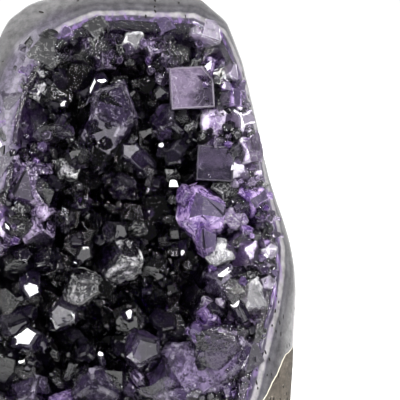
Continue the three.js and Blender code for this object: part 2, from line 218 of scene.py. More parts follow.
bpy.ops.object.modifier_add(type="SMOOTH")
stone.modifiers[-1].factor = 0.5
stone.modifiers[-1].iterations = 14
stone.modifiers[-1].vertex_group = "ground"
bpy.ops.object.modifier_apply(modifier=stone.modifiers[-1].name)
for name, size, depth in (("lumps", 0.011, 0.0026), ("knobs", 0.005, 0.0012), ("grit", 0.0021, 0.0011)):
    relief = bpy.data.textures.new(name, "CLOUDS")
    relief.noise_scale = size
    bpy.ops.object.modifier_add(type="DISPLACE")
    stone.modifiers[-1].texture = relief
    stone.modifiers[-1].strength = depth
    stone.modifiers[-1].mid_level = 0.75
    stone.modifiers[-1].vertex_group = "left_rough"
    bpy.ops.object.modifier_apply(modifier=stone.modifiers[-1].name)
bpy.ops.object.shade_smooth()

# Pits and a few cracks in the polished edge, where the wheel opened small hollows of the agate.
random.seed(4410)
face_of_stone = surface_of(stone)
pits = [
    # [along x, height, length across, length upwards], seen from the front
    (0.0430, 0.1217, 0.0004, 0.0016), (0.0447, 0.1143, 0.0004, 0.0013), (0.0480, 0.1023, 0.0005, 0.0016),
    (0.0135, 0.1480, 0.0005, 0.0006), (0.0137, 0.1462, 0.0004, 0.0008), (0.0136, 0.1443, 0.0004, 0.0006),
    (0.0138, 0.1428, 0.0004, 0.0009), (-0.0300, 0.1440, 0.0030, 0.0005), (-0.0265, 0.1456, 0.0026, 0.0004),
    (-0.0240, 0.1425, 0.0012, 0.0005), (-0.0120, 0.1462, 0.0006, 0.0004), (0.0215, 0.1455, 0.0005, 0.0004),
]
pits_low_right, pits_anywhere = 60, 70
for _ in range(pits_low_right):
    height = random.uniform(0.008, 0.05)
    pits.append((random.uniform(0.047, 0.0605), height,
                 random.uniform(0.0002, 0.0004), random.uniform(0.0004, 0.0011)))
for _ in range(pits_anywhere):
    pits.append((random.uniform(-0.06, 0.058), random.uniform(0.004, 0.148),
                 random.uniform(0.0002, 0.0005), random.uniform(0.0003, 0.0011)))
bpy.ops.object.select_all(action="DESELECT")
hollows = []
for x, z, across, upwards in pits:
    seat, outward = seen_from_front(face_of_stone, x, z)
    if seat is None or roots.find_nearest(seat)[3] < 0.0012 or z < 0.003:
        continue
    bpy.ops.mesh.primitive_ico_sphere_add(subdivisions=1, radius=1)
    hollow = bpy.context.object
    turned = outward.to_track_quat("Z", "Y").to_matrix().to_4x4()
    tilt = Matrix.Rotation(random.uniform(-0.4, 0.4), 4, "Z")
    pit_size = Matrix.Diagonal((across, upwards, 0.0007, 1))
    hollow.data.transform(Matrix.Translation(seat) @ turned @ tilt @ pit_size)
    hollows.append(hollow)
# The insides of the hollows are coloured near black: painted shade in the pits.
pit_painted_shade = bpy.data.materials.new("pit")
pit_painted_shade.use_nodes = True
pit_shader = pit_painted_shade.node_tree.nodes["Principled BSDF"]
pit_shader.inputs["Base Color"].default_value = (0.02, 0.017, 0.015, 1)
pit_shader.inputs["Roughness"].default_value = 0.9
cutters = bpy.data.collections.new("hollows")
for hollow in hollows:
    hollow.data.materials.append(pit_painted_shade)
    cutters.objects.link(hollow)
rock = bpy.data.materials.new("agate_and_basalt")
stone.data.materials.append(rock)
stone.data.materials.append(pit_painted_shade)
opened = stone.modifiers.new("opened_hollows", "BOOLEAN")
opened.operation = "DIFFERENCE"
opened.operand_type = "COLLECTION"
opened.collection = cutters
opened.solver = "MANIFOLD"
work_on(stone)
bpy.ops.object.modifier_apply(modifier=opened.name)
for hollow in hollows:
    bpy.data.objects.remove(hollow)
bpy.ops.object.shade_smooth_by_angle(angle=math.radians(40))

# Each point of the stone is told how far through the agate it lies, from the crust at 0 to the basalt at 1,
# and how rough it was left. The agate is thin at the foot and takes the whole edge higher up.
thin_agate, thick_agate = (0.013, 0.0055), (0.030, 0.0125)
through_agate, left_rough, behind_crust, in_bowl = [], [], [], []
for point in stone.data.vertices:
    behind = roots.find_nearest(point.co)[3]
    low_z, low_thickness = thin_agate
    high_z, high_thickness = thick_agate
    rise = (point.co.z - low_z) / (high_z - low_z)
    thickness = max(0.003, low_thickness + rise * (high_thickness - low_thickness))
    if rise > 1:
        thickness += 0.03 * (rise - 1)
    through_agate.append(behind / thickness)
    behind_front = point.co.y - (front_at_foot + front_lean * point.co.z)
    left_rough.append(min(1, max(0, (behind_front - ground_reach) / 0.003)) if point.co.z > 0.0012 else 0.5)
    behind_crust.append(behind)
    ground_face, _ = seen_from_front(face_of_lump, point.co.x, point.co.z)
    sunk = point.co.y - ground_face.y if ground_face else 0
    in_bowl.append(min(1, max(0, (sunk - 0.0012) / 0.001)) if behind < 0.0016 else 0)
for name, values in (
    ("through_agate", through_agate), ("broken", left_rough), ("behind_crust", behind_crust),
    ("in_bowl", in_bowl),
):
    stone.data.attributes.new(name, "FLOAT", "POINT").data.foreach_set("value", values)


def add_node(tree, kind, values=None, **settings):
    """A new shader node with its settings, and plain values or links for its sockets."""
    node = tree.nodes.new("ShaderNode" + kind)
    for key, value in settings.items():
        setattr(node, key, value)
    for socket, value in (values or {}).items():
        if isinstance(value, bpy.types.NodeSocket):
            tree.links.new(value, node.inputs[socket])
        else:
            node.inputs[socket].default_value = value
    return node


def noise(tree, where, size, detail=3, roughness=0.6, distortion=0.0, stretch=(1, 1, 1)):
    """A cloud pattern whose lumps are about size metres across, centred on 0.5."""
    spread = add_node(tree, "Mapping", {"Vector": where, "Scale": stretch})
    return add_node(tree, "TexNoise", {
        "Vector": spread.outputs[0], "Scale": 0.5 / size, "Detail": detail, "Roughness": roughness,
        "Distortion": distortion}).outputs["Fac"]


def ramp(tree, value, low, high, to_low=0.0, to_high=1.0):
    """A value taken from low..high to to_low..to_high, and kept there."""
    return add_node(tree, "MapRange", {
        "Value": value, "From Min": low, "From Max": high, "To Min": to_low, "To Max": to_high,
    }).outputs["Result"]


def blend(tree, share, first, second, how="MIX"):
    """Two colours mixed by a share."""
    mix = tree.nodes.new("ShaderNodeMix")
    mix.data_type = "RGBA"
    mix.blend_type = how
    mix.clamp_factor = True
    for socket, value in ((mix.inputs[0], share), (mix.inputs[6], first), (mix.inputs[7], second)):
        if isinstance(value, bpy.types.NodeSocket):
            tree.links.new(value, socket)
        elif socket == mix.inputs[0]:
            socket.default_value = value
        else:
            socket.default_value = (*value, 1)
    return mix.outputs[2]


def arithmetic(tree, operation, first, second=0.0):
    """One step of arithmetic on two values."""
    return add_node(tree, "Math", {0: first, 1: second}, operation=operation).outputs[0]


# The heart is the darkest part of the bowl. Its near black is partly the deeper colour of the amethyst there
# and partly painted shade of the deep middle of the bowl.
heart_lobes = [
    # The middle and the reach of each rounded part, seen from the front.
    ((0.004, 0, 0.074), (0.031, 1, 0.053)), ((-0.018, 0, 0.042), (0.036, 1, 0.028)),
    ((-0.012, 0, 0.116), (0.016, 1, 0.014)),
]


def heart_share(tree, here, start, end):
    """0 in the nearly black heart of the bowl and 1 outside it, from one share of its reach to another."""
    distance = 10.0
    for middle, reach in heart_lobes:
        from_middle = add_node(tree, "VectorMath", {0: here, 1: middle}, operation="SUBTRACT").outputs[0]
        in_reach = add_node(tree, "VectorMath", {0: from_middle, 1: reach}, operation="DIVIDE").outputs[0]
        length = add_node(tree, "VectorMath", {0: in_reach}, operation="LENGTH").outputs["Value"]
        distance = arithmetic(tree, "MINIMUM", distance, length)
    uneven = arithmetic(tree, "MULTIPLY", arithmetic(tree, "SUBTRACT", noise(tree, here, 0.008, 3), 0.5), 1.1)
    return ramp(tree, arithmetic(tree, "ADD", distance, uneven), start, end)


rock.use_nodes = True
tree = rock.node_tree
rock_shader = tree.nodes["Principled BSDF"]
here = add_node(tree, "TexCoord").outputs["Object"]
through = add_node(tree, "Attribute", attribute_name="through_agate").outputs["Fac"]
roughly = add_node(tree, "Attribute", attribute_name="broken").outputs["Fac"]
behind = add_node(tree, "Attribute", attribute_name="behind_crust").outputs["Fac"]
wander = arithmetic(tree, "SUBTRACT", noise(tree, here, 0.006, 4), 0.5)
bands_wander = arithmetic(tree, "MULTIPLY", wander, 0.0028)
banded_depth = 0.012
band_depth = arithmetic(tree, "DIVIDE", arithmetic(tree, "ADD", behind, bands_wander), banded_depth)
layers = add_node(tree, "ValToRGB", {"Fac": band_depth})
bands = layers.color_ramp
bands.elements[0].position, bands.elements[0].color = 0.0, (0.035, 0.026, 0.055, 1)
bands.elements[1].position, bands.elements[1].color = 1.0, (0.09, 0.088, 0.09, 1)
for position, colour in (
    (0.08, (0.03, 0.024, 0.045)), (0.16, (0.04, 0.034, 0.05)), (0.21, (0.18, 0.17, 0.185)),
    (0.31, (0.17, 0.165, 0.165)), (0.38, (0.042, 0.04, 0.048)), (0.5, (0.062, 0.06, 0.066)),
    (0.62, (0.04, 0.038, 0.043)), (0.8, (0.06, 0.058, 0.061)),
):
    band = bands.elements.new(position)
    band.color = (*colour, 1)
mottle = ramp(tree, noise(tree, here, 0.0014, 4), 0.35, 0.65, 0.7, 1.3)
mottle_colour = add_node(tree, "CombineXYZ", {0: mottle, 1: mottle, 2: mottle}).outputs[0]
agate_colour = blend(tree, 1.0, layers.outputs["Color"], mottle_colour, "MULTIPLY")
streaks = ramp(tree, noise(tree, here, 0.0012, 3, stretch=(1, 1, 0.25)), 0.5, 0.62)
near_purple = ramp(tree, behind, 0.0005, 0.005, 0.85, 0.0)
purple_streaks = arithmetic(tree, "MULTIPLY", near_purple, streaks)
agate_colour = blend(tree, purple_streaks, agate_colour, (0.13, 0.08, 0.2))
apart = add_node(tree, "SeparateXYZ", {0: here})
at_left = ramp(tree, apart.outputs[0], -0.012, -0.03)
cut_crystals = arithmetic(tree, "MULTIPLY", at_left, ramp(tree, behind, 0.011, 0.007))
frost = ramp(tree, noise(tree, here, 0.0009, 4, 0.75, 0.5), 0.42, 0.6)
cut_colour = blend(tree, frost, (0.035, 0.028, 0.05), (0.12, 0.1, 0.15))
agate_colour = blend(tree, arithmetic(tree, "MULTIPLY", cut_crystals, 0.75), agate_colour, cut_colour)
depth = arithmetic(tree, "ADD", through, arithmetic(tree, "MULTIPLY", wander, 0.35))
cream = arithmetic(tree, "MULTIPLY", ramp(tree, depth, 0.9, 0.94), ramp(tree, depth, 0.965, 0.985, 1.0, 0.0))
agate_colour = blend(tree, cream, agate_colour, (0.55, 0.51, 0.42))
basalt = ramp(tree, depth, 0.96, 0.985)
rock_patches = ramp(tree, noise(tree, here, 0.004, 5, 0.7), 0.35, 0.65)
rock_grains = ramp(tree, noise(tree, here, 0.0007, 3, 0.7), 0.4, 0.62)
brown = blend(tree, rock_patches, (0.04, 0.031, 0.023), (0.105, 0.089, 0.07))
ochre = ramp(tree, noise(tree, here, 0.012, 3, 0.6, 0.5), 0.55, 0.68, 0.0, 0.6)
brown = blend(tree, ochre, brown, (0.12, 0.078, 0.042))
pale_grains = ramp(tree, noise(tree, here, 0.0009, 2, 0.6), 0.64, 0.7, 0.0, 0.7)
brown = blend(tree, pale_grains, brown, (0.26, 0.24, 0.2))
brown = blend(tree, arithmetic(tree, "MULTIPLY", rock_grains, 0.6), brown, (0.03, 0.024, 0.02))
agate_colour = blend(tree, basalt, agate_colour, brown)
roughness_edge = arithmetic(tree, "ADD", roughly, arithmetic(tree, "MULTIPLY", wander, 0.6))
broken = ramp(tree, roughness_edge, 0.35, 0.55)
lining = add_node(tree, "Attribute", attribute_name="in_bowl").outputs["Fac"]
colour = blend(tree, broken, agate_colour, brown)
# The bed of the bowl is near black in the heart, partly its own colour and partly painted shade of the deep
# bowl, and paler towards the mouth.
outside_heart = heart_share(tree, here, 0.75, 1.15)
bed_colour_and_painted_shade = blend(tree, outside_heart, (0.01, 0.007, 0.016), (0.13, 0.105, 0.16))
bed_colour_and_painted_shade = blend(tree, heart_share(tree, here, 1.15, 1.5), bed_colour_and_painted_shade, (0.2, 0.185, 0.215))
# Across the top the bed is painted dark: painted shade where the inner edge of the agate shades it.
bed_colour_and_painted_shade = blend(tree, ramp(tree, apart.outputs[2], 0.127, 0.133), bed_colour_and_painted_shade, (0.035, 0.026, 0.055))
tree.links.new(blend(tree, lining, colour, bed_colour_and_painted_shade), rock_shader.inputs["Base Color"])
dull = arithmetic(tree, "MAXIMUM", broken, basalt)
polish = ramp(tree, cut_crystals, 0.0, 1.0, 0.17, 0.4)
rock_roughness = add_node(tree, "Mix", {0: dull, 2: polish, 3: 0.85}).outputs[0]
tree.links.new(rock_roughness, rock_shader.inputs["Roughness"])
chips = add_node(tree, "TexVoronoi", {"Vector": here, "Scale": 260.0, "Randomness": 1.0}).outputs["Distance"]
grit_height = noise(tree, here, 0.0008, 5, 0.75)
grit_height = arithmetic(tree, "ADD", grit_height, arithmetic(tree, "MULTIPLY", chips, 0.8))
grit_height = arithmetic(tree, "MULTIPLY", grit_height, dull)
grit_bump = add_node(tree, "Bump", {"Height": grit_height, "Strength": 1.0, "Distance": 0.0011})
tree.links.new(grit_bump.outputs["Normal"], rock_shader.inputs["Normal"])
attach(stone, "root")
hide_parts("stone_wall")

# The crust: amethyst crystals grown together at their roots into one clear purple mass that lines the
# bowl. Between the crystals of the solid grow smaller ones, all joined to it.
bpy.ops.object.select_all(action="DESELECT")
crust = crust_node.copy()
crust.data = crust_node.data.copy()
crust.name = "amethyst_crystals"
bpy.context.scene.collection.objects.link(crust)
crust.select_set(True)
bpy.context.view_layer.objects.active = crust
bpy.ops.object.mode_set(mode="EDIT")
bpy.ops.mesh.select_all(action="SELECT")
bpy.ops.mesh.remove_doubles(threshold=1e-5)
bpy.ops.object.mode_set(mode="OBJECT")
crust.data.materials.clear()

face_angle = math.radians(51.8)
random.seed(20260412)


def crystal_pattern(name, slimness, unevenness, root=2.0, narrow=0.1, sides=0.0):
    """A quartz crystal one unit wide, six-sided, its tip above z = 0 and its root below."""
    bpy.ops.mesh.primitive_cylinder_add(
        vertices=6, radius=0.5 / math.cos(math.pi / 6), depth=root + 1, location=(0, 0, (1 - root) / 2),
        rotation=(0, 0, math.pi / 6)
    )
    crystal = bpy.context.object
    crystal.name = name
    bpy.ops.object.transform_apply(location=True, rotation=True, scale=False)
    bpy.ops.object.mode_set(mode="EDIT")
    for side in range(6):
        turn = side * math.pi / 3
        outward = Vector((math.cos(turn), math.sin(turn), 0))
        tip_face = math.sin(face_angle) * outward + Vector((0, 0, math.cos(face_angle)))
        set_back = random.uniform(0, unevenness) + (narrow if side % 2 else 0)
        cuts = [(tip_face, 0.5 * math.sin(face_angle) + set_back)]
        if sides:
            cuts.append((outward, 0.5 - random.uniform(0, sides)))
        for normal, distance in cuts:
            bpy.ops.mesh.select_all(action="SELECT")
            bpy.ops.mesh.bisect(plane_co=distance * normal, plane_no=normal, use_fill=True, clear_outer=True)
    bpy.ops.object.mode_set(mode="OBJECT")
    crystal.data.transform(Matrix.Diagonal((1, slimness, 1, 1)))
    return crystal


patterns = [
    crystal_pattern("small_crystal", slimness, unevenness)
    for slimness, unevenness in ((1, 0.05), (0.85, 0.15), (1.15, 0.25), (0.75, 0.1), (1, 0.35))
]

# Seats for the small crystals: wherever the bed shows between the crystals of the solid, from just inside
# the ground edge down to just above the saw cut.
small_pitch = 0.0023
small_width = (0.0016, 0.0048)
bed_cover = 0.0065
shown_low, shown_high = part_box("amethyst_crust")
below_ground_face = 0.0026
front_of_crust = surface_of(crust)
seats = []
for column in range(int((shown_high.x - shown_low.x) / small_pitch)):
    for row in range(int((shown_high.z - shown_low.z) / small_pitch)):
        x = shown_low.x + (column + random.random()) * small_pitch
        z = shown_low.z + (row + random.random()) * small_pitch
        front, outward = seen_from_front(front_of_crust, x, z)
        behind = front_of_crust.ray_cast(Vector((x, 0.2, z)), -into_bowl)[0]
        ground_face, _ = seen_from_front(face_of_lump, x, z)
        if front is None or z < 0.004 or front.y - ground_face.y < below_ground_face:
            continue
        if behind.y - front.y < bed_cover or random.random() < 0.06:
            seats.append((front, outward, front.y - ground_face.y))
small_crystals = []
for seat, outward, room in seats:
    stray = Vector([random.uniform(-1, 1) for _ in range(3)])
    axis = (0.7 * outward - 0.6 * into_bowl + 0.5 * stray).normalized()
    width = min(random.uniform(*small_width), 0.8 * room)
    crystal = random.choice(patterns).copy()
    crystal.data = crystal.data.copy()
    bpy.context.scene.collection.objects.link(crystal)
    turned = axis.to_track_quat("Z", "X").to_matrix().to_4x4()
    spun = Matrix.Rotation(random.uniform(0, math.pi), 4, "Z")
    root_place = Matrix.Translation(seat + 0.3 * width * axis)
    crystal.data.transform(root_place @ turned @ spun @ Matrix.Scale(width, 4))
    small_crystals.append(crystal)
for pattern in patterns:
    bpy.data.objects.remove(pattern)

grown = bpy.data.collections.new("small_crystals")
for crystal in small_crystals:
    grown.objects.link(crystal)
joined = crust.modifiers.new("grown_together", "BOOLEAN")
joined.operation = "UNION"
joined.operand_type = "COLLECTION"
joined.collection = grown
joined.solver = "MANIFOLD"
work_on(crust)
bpy.ops.object.modifier_apply(modifier=joined.name)
for crystal in small_crystals:
    bpy.data.objects.remove(crystal)
crust.data.materials.clear()
bpy.ops.object.mode_set(mode="EDIT")
bpy.ops.mesh.select_all(action="SELECT")
bpy.ops.mesh.dissolve_limited(angle_limit=math.radians(0.5))
bpy.ops.object.mode_set(mode="OBJECT")
facet_luck = [random.random() for _ in crust.data.polygons]
crust.data.attributes.new("facet", "FLOAT", "FACE").data.foreach_set("value", facet_luck)
below_face = [face_of_lump.find_nearest(v.co)[3] for v in crust.data.vertices]
at_face = [min(1, max(0, 1 - (below - 0.0008) / 0.001)) for below in below_face]
crust.data.attributes.new("at_face", "FLOAT", "POINT").data.foreach_set("value", at_face)

amethyst = bpy.data.materials.new("clear_amethyst")
amethyst.use_nodes = True
tree = amethyst.node_tree
amethyst_shader = tree.nodes["Principled BSDF"]
here = add_node(tree, "TexCoord").outputs["Object"]
facet = add_node(tree, "Attribute", attribute_name="facet").outputs["Fac"]
# The crust is tinted near black in the heart, partly deeper amethyst and partly painted shade of the deep bowl,
# and paler towards the mouth.
outside_heart = heart_share(tree, here, 0.75, 1.15)
towards_mouth = heart_share(tree, here, 1.1, 1.5)
tint_and_painted_shade = blend(tree, outside_heart, (0.07, 0.045, 0.13), (0.55, 0.38, 0.76))
tint_and_painted_shade = blend(tree, towards_mouth, tint_and_painted_shade, (0.93, 0.86, 0.98))
facet_shade = ramp(tree, facet, 0.0, 1.0, 0.55, 1.0)
shade = add_node(tree, "CombineXYZ", {0: facet_shade, 1: facet_shade, 2: facet_shade}).outputs[0]
tree.links.new(blend(tree, 1.0, tint_and_painted_shade, shade, "MULTIPLY"), amethyst_shader.inputs["Base Color"])
etched_facet = ramp(tree, facet, 0.62, 0.66, 0.0, 0.8)
etched_patch = ramp(tree, noise(tree, here, 0.003, 3), 0.5, 0.56, 0.0, 0.35)
etched = arithmetic(tree, "MAXIMUM", etched_facet, etched_patch)
worn = add_node(tree, "Attribute", attribute_name="at_face").outputs["Fac"]
etched = arithmetic(tree, "MAXIMUM", etched, arithmetic(tree, "MULTIPLY", worn, 0.7))
tree.links.new(ramp(tree, etched, 0.0, 1.0, 0.015, 0.16), amethyst_shader.inputs["Roughness"])
hammered = arithmetic(tree, "MULTIPLY", noise(tree, here, 0.0006, 3, 0.7, 0.6), etched)
hammered_bump = add_node(tree, "Bump", {"Height": hammered, "Strength": 1.0, "Distance": 0.0005})
tree.links.new(hammered_bump.outputs["Normal"], amethyst_shader.inputs["Normal"])
amethyst_shader.inputs["IOR"].default_value = 1.544
amethyst_shader.inputs["Transmission Weight"].default_value = 1
purple_depth = add_node(tree, "VolumeAbsorption", {"Color": (0.48, 0.26, 0.7, 1), "Density": 90})
tree.links.new(purple_depth.outputs["Volume"], tree.nodes["Material Output"].inputs["Volume"])
crust.data.materials.append(amethyst)
bpy.ops.object.shade_flat()
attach(crust, "root")
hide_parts("amethyst_crust")


# The larger crystals whose skins grew cloudy or etched. Each is its own piece over the crust that carries
# it, rooted in the bed, with its edges worn a little round and lesser crystals grown parallel to it.
def mark_edges(crystal, rim):
    """Rounds the edges of a crystal a little and tells each face how near its edge is, over a rim."""
    bpy.ops.object.mode_set(mode="EDIT")
    bpy.ops.mesh.select_all(action="SELECT")
    bpy.ops.mesh.bevel(offset=0.011, offset_type="OFFSET", segments=1, affect="EDGES")
    bpy.ops.mesh.select_all(action="DESELECT")
    bpy.ops.object.mode_set(mode="OBJECT")
    mesh = crystal.data
    for polygon in mesh.polygons:
        corners = [mesh.vertices[index].co for index in polygon.vertices]
        girth = sum((corners[i] - corners[i - 1]).length for i in range(len(corners)))
        polygon.select = 2 * polygon.area / girth > 1.7 * rim
    outer_corners = len(mesh.vertices)
    bpy.ops.object.mode_set(mode="EDIT")
    bpy.ops.mesh.inset(thickness=rim, depth=0, use_individual=True)
    bpy.ops.object.mode_set(mode="OBJECT")
    nearness = []
    for polygon in mesh.polygons:
        inner = [index >= outer_corners for index in polygon.vertices]
        nearness += [0.0 if is_inner else 1.0 for is_inner in inner] if any(inner) else [0.5] * len(inner)
    mesh.attributes.new("edge", "FLOAT", "CORNER").data.foreach_set("value", nearness)


# A block ends in three broad faces like the corner of a cube, and a point in six. A square crystal shows one
# face of such a cube.
forms = {"block": [], "point": [], "square": []}
for height in (1.0, 1.15, 0.95):
    bpy.ops.mesh.primitive_cube_add(size=1, location=(0, 0, -0.1))
    pattern = bpy.context.object
    pattern.name = "square"
    pattern.data.transform(Matrix.Translation((0, 0, -0.1)) @ Matrix.Diagonal((height, 1, 1.2, 1)))
    bpy.ops.object.transform_apply(location=True, rotation=False, scale=False)
    bpy.ops.object.mode_set(mode="EDIT")
    bpy.ops.mesh.select_all(action="SELECT")
    bpy.ops.mesh.bisect(
        plane_co=(0.34, -0.36, 0.4), plane_no=(0.5, -0.7, 0.45), use_fill=True, clear_outer=True
    )
    bpy.ops.object.mode_set(mode="OBJECT")
    mark_edges(pattern, 0.03)
    forms["square"].append(pattern)
for form, narrow, unevenness, copies in (("block", 0.62, 0.1, 7), ("point", 0.2, 0.2, 6)):
    for _ in range(copies):
        slimness = random.uniform(0.85, 1.1)
        pattern = crystal_pattern(form, slimness, unevenness, root=0.9, narrow=narrow, sides=0.12)
        mark_edges(pattern, 0.07)
        forms[form].append(pattern)


def leaning(lean_right, lean_up, turn, upright=False):
    """How a crystal stands that leans by two slopes and is turned about its own axis, in degrees."""
    axis = (-into_bowl + Vector((lean_right, 0, lean_up))).normalized()
    across = -into_bowl + into_bowl.dot(axis) * axis
    if upright or across.length < 0.05:
        across = Vector((0, 0, 1)) - axis.z * axis
    across.normalize()
    across.rotate(Matrix.Rotation(math.radians(turn), 3, axis))
    return Matrix((across, axis.cross(across), axis)).transposed().to_4x4()


def facing(x, z, lamp, turn, aside=(0, 0)):
    """How a crystal stands that has one broad face to the camera, or turned to throw a lamp there."""
    spot = Vector((x / 1000, -0.025, z / 1000))
    to_camera = (camera.location - spot).normalized()
    to_lamp = (Vector(lamps[lamp][0]) - spot).normalized() if lamp else to_camera
    face = (to_camera + to_lamp + Vector((aside[0], 0, aside[1]))).normalized()
    across_face = face.orthogonal().normalized()
    across_face.rotate(Matrix.Rotation(math.radians(turn), 3, face))
    axis = math.cos(face_angle) * face + math.sin(face_angle) * across_face
    across = (face - math.cos(face_angle) * axis) / math.sin(face_angle)
    return Matrix((across, axis.cross(across), axis)).transposed().to_4x4()


# Where a crystal reached past the face of the lump, the wheel ground it off flush with the stone.
work_on(ground_form)
bpy.ops.object.mode_set(mode="EDIT")
bpy.ops.mesh.select_all(action="SELECT")
bpy.ops.transform.shrink_fatten(value=0.0001)
bpy.ops.object.mode_set(mode="OBJECT")
for corner in ground_form.data.vertices:
    corner.co.z = max(0, corner.co.z)
cut_all_over = [1.0] * len(ground_form.data.polygons)
ground_form.data.attributes.new("cut", "FLOAT", "FACE").data.foreach_set("value", cut_all_over)


def grind_off(crystal):
    """Grinds a crystal off flush with the face of the lump. The cut gets no pale edge, the chips and painted
    edge highlight of the grown edges.
    """
    work_on(crystal)
    cutter = crystal.modifiers.new("ground_off", "BOOLEAN")
    cutter.operation = "INTERSECT"
    cutter.object = ground_form
    cutter.solver = "MANIFOLD"
    bpy.ops.object.modifier_apply(modifier=cutter.name)
    mesh = crystal.data
    if mesh.polygons:
        for polygon, cut in zip(mesh.polygons, mesh.attributes["cut"].data):
            if cut.value > 0.5:
                for corner in polygon.loop_indices:
                    mesh.attributes["edge"].data[corner].value = 0.0


def stand_crystal(form, x, z, width, stance, company, lightness=(0.4, 1), sunk=0.12):
    """A larger crystal and its company: where its tip begins, seen from the front, in millimetres."""
    x, z, width = x / 1000, z / 1000, width / 1000
    ground_face, _ = seen_from_front(face_of_lump, x, z)
    seat = seen_from_front(front_of_crust, x, z)[0] or ground_face
    room = seat.y - ground_face.y
    bodies = []
    for member in range(1 + company):
        crystal = random.choice(forms[form]).copy()
        crystal.data = crystal.data.copy()
        bpy.context.scene.collection.objects.link(crystal)
        size = width * (random.uniform(0.3, 0.55) if member else 1)
        round_about = random.uniform(0, 2 * math.pi)
        aside = width * random.uniform(0.32, 0.5) * (1 if member else 0)
        lift = width * random.uniform(-0.2, 0.08) * (1 if member else 0)
        offset = Vector((aside * math.cos(round_about), aside * math.sin(round_about), lift))
        mesh = crystal.data
        luck = random.uniform(*lightness)
        mesh.transform(
            Matrix.Translation(seat + sunk * width * into_bowl) @ stance @ Matrix.Translation(offset)
            @ Matrix.Scale(size, 4)
        )
        mesh.attributes.new("luck", "FLOAT", "FACE").data.foreach_set("value", [luck] * len(mesh.polygons))
        mesh.attributes.new("cut", "FLOAT", "FACE")
        furthest = 0
        for corner in mesh.vertices:
            above, _ = seen_from_front(face_of_lump, corner.co.x, corner.co.z)
            if above is not None:
                furthest = max(furthest, above.y - corner.co.y)
        mesh.transform(Matrix.Translation(min(furthest, room + 0.35 * size) * into_bowl))
        nearest = [face_of_lump.find_nearest(corner.co) + (corner.co,) for corner in mesh.vertices]
        if any((corner - on_face).dot(outward) > 0 for on_face, outward, _, _, corner in nearest):
            grind_off(crystal)
        if len(mesh.polygons) > 3:
            bodies.append(crystal)
        else:
            bpy.data.objects.remove(crystal)
    return bodies


def finish_crystals(name, bodies, skin):
    """Joins crystals of one skin to one piece, and lets it ride on the lump."""
    bpy.ops.object.select_all(action="DESELECT")
    for body in bodies:
        body.data.materials.clear()
        body.data.materials.append(skins[skin])
        body.select_set(True)
    bpy.context.view_layer.objects.active = bodies[0]
    bpy.ops.object.join()
    bpy.ops.object.shade_flat()
    bodies[0].name = name
    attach(bodies[0], "root")


def crystal_skin(name, body, cloudy, see_through, cloud_size=0.0035, cloudiness=0.5, etching=0.3,
                 depth=0.00025, veil=0.5, fleck=0.6, gloss=0.04, edge=0.9, whole_edge=0.38, shadow=0.8):
    """A quartz skin: a body colour with paler clouds and flecks, etched in patches, and paler at its edges,
    partly chips and partly painted highlight.
    """
    skin = bpy.data.materials.new(name)
    skin.use_nodes = True
    tree = skin.node_tree
    shader = tree.nodes["Principled BSDF"]
    here = add_node(tree, "TexCoord").outputs["Object"]
    luck = add_node(tree, "Attribute", attribute_name="luck").outputs["Fac"]
    cut = add_node(tree, "Attribute", attribute_name="cut").outputs["Fac"]
    cloud_noise = noise(tree, here, cloud_size, 5, 0.7, 0.4)
    cloud_noise = arithmetic(tree, "ADD", cloud_noise, ramp(tree, luck, 0, 1, -0.1, 0.1))
    clouds = ramp(tree, cloud_noise, 0.68 - 0.3 * cloudiness, 0.85 - 0.3 * cloudiness)
    colour = blend(tree, clouds, body, cloudy)
    bright = tuple(min(0.95, 0.25 + 1.2 * part) for part in cloudy)
    veil_noise = arithmetic(tree, "SUBTRACT", noise(tree, here, 0.0025, 3, 0.6, 0.8), 0.5)
    veils = ramp(tree, arithmetic(tree, "ABSOLUTE", veil_noise), 0.0, 0.02, veil, 0.0)
    colour = blend(tree, veils, colour, bright)
    flecks = ramp(tree, noise(tree, here, 0.0006, 2), 0.62, 0.68, 0.0, fleck)
    colour = blend(tree, flecks, colour, bright)
    shadows = ramp(tree, noise(tree, here, 0.0012, 3, 0.7, 0.5), 0.36, 0.46, shadow, 0.0)
    colour = blend(tree, shadows, colour, tuple(0.3 * part for part in body))
    # The edges are painted paler where the chip pattern allows: partly chipped wear and partly a painted edge
    # highlight.
    near_edge = add_node(tree, "Attribute", attribute_name="edge").outputs["Fac"]
    chips = ramp(tree, noise(tree, here, 0.0022, 4, 0.75), whole_edge, whole_edge + 0.2)
    chips_and_edge_highlight = ramp(tree, arithmetic(tree, "MULTIPLY", near_edge, chips), 0.15, 0.6, 0.0, edge)
    colour = blend(tree, chips_and_edge_highlight, colour, bright)
    shade = ramp(tree, luck, 0, 1, 0.3, 1.15)
    shaded = add_node(tree, "VectorMath", {0: colour, "Scale": shade}, operation="SCALE").outputs[0]
    tree.links.new(shaded, shader.inputs["Base Color"])
    etched_patch = ramp(tree, noise(tree, here, 0.004, 3), 0.62 - 0.4 * etching, 0.7 - 0.4 * etching)
    etched_patch = arithmetic(tree, "MULTIPLY", etched_patch, ramp(tree, cut, 0, 1, 1, 0.1))
    roughness = ramp(tree, etched_patch, 0.0, 1.0, gloss, 0.15)
    roughness = arithmetic(tree, "MAXIMUM", roughness, ramp(tree, cut, 0, 1, 0, 0.4))
    tree.links.new(roughness, shader.inputs["Roughness"])
    pitted = arithmetic(tree, "MULTIPLY", noise(tree, here, 0.0008, 3, 0.65, 0.8), etched_patch)
    bump = add_node(tree, "Bump", {"Height": pitted, "Strength": 1.0, "Distance": depth})
    tree.links.new(bump.outputs["Normal"], shader.inputs["Normal"])
    shader.inputs["IOR"].default_value = 1.544
    shader.inputs["Transmission Weight"].default_value = see_through
    return skin


